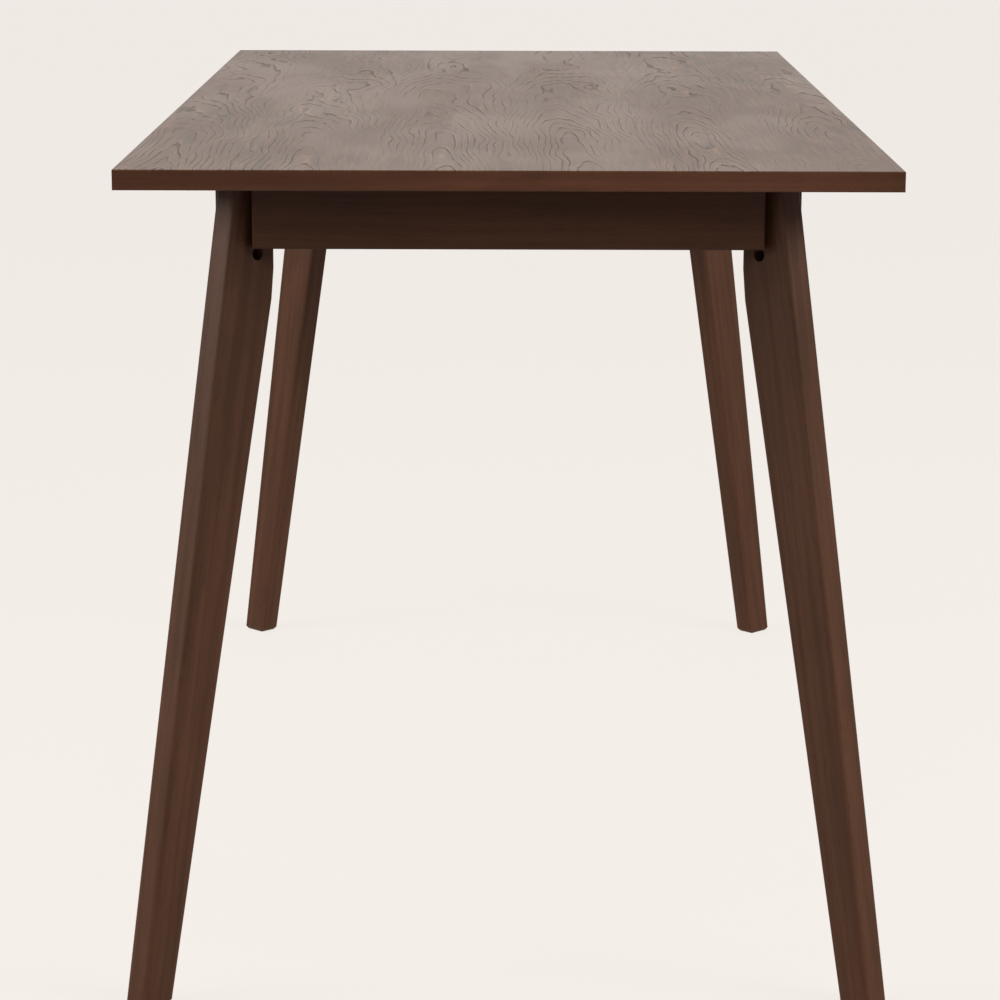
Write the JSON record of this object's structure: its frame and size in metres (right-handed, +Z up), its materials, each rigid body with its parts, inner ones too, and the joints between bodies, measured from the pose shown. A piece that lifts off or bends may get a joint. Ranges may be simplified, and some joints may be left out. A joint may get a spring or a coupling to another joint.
{
  "type": "dining table",
  "caption": "Rectangular dark wood dining table with a thin flat top, a slim apron frame and splayed, tapering board legs set across the corners.",
  "frame": {"origin": "centre of the bounding box on the floor", "axes": "+Z up; +Y along the table's length, away from the pictured short end; +X across its width"},
  "size_m": [0.6916, 1.4116, 0.762],
  "materials": {
    "board_core": "raw fibreboard",
    "top_veneer": "satin lacquer over embossed open grain",
    "backing_veneer": "thin sealer",
    "edge_wood": "satin lacquer",
    "apron_wood": "satin lacquer",
    "leg_wood": "satin lacquer",
    "hidden_wood": "bare sanded wood",
    "bolt_steel": "black-oxide steel",
    "zinc_steel": "bright zinc plate",
    "screw_steel": "yellow-zinc plate"
  },
  "bodies": {
    "root": {"barrel_nuts": "zinc_steel", "corner_block_back_left": "hidden_wood", "corner_block_back_right": "hidden_wood", "corner_block_front_left": "hidden_wood", "corner_block_front_right": "hidden_wood", "cross_rail": "hidden_wood", "leg_back_left": "leg_wood", "leg_back_right": "leg_wood", "leg_bolt_washers": "zinc_steel", "leg_bolts": "bolt_steel", "leg_front_left": "leg_wood", "leg_front_right": "leg_wood", "lipping_back": "edge_wood", "lipping_front": "edge_wood", "lipping_left": "edge_wood", "lipping_right": "edge_wood", "long_apron_left": "apron_wood", "long_apron_right": "apron_wood", "short_apron_back": "apron_wood", "short_apron_front": "apron_wood", "top_back_veneer": "backing_veneer", "top_brackets": "zinc_steel", "top_core": "board_core", "top_face_veneer": "top_veneer"}
  },
  "joints": []
}
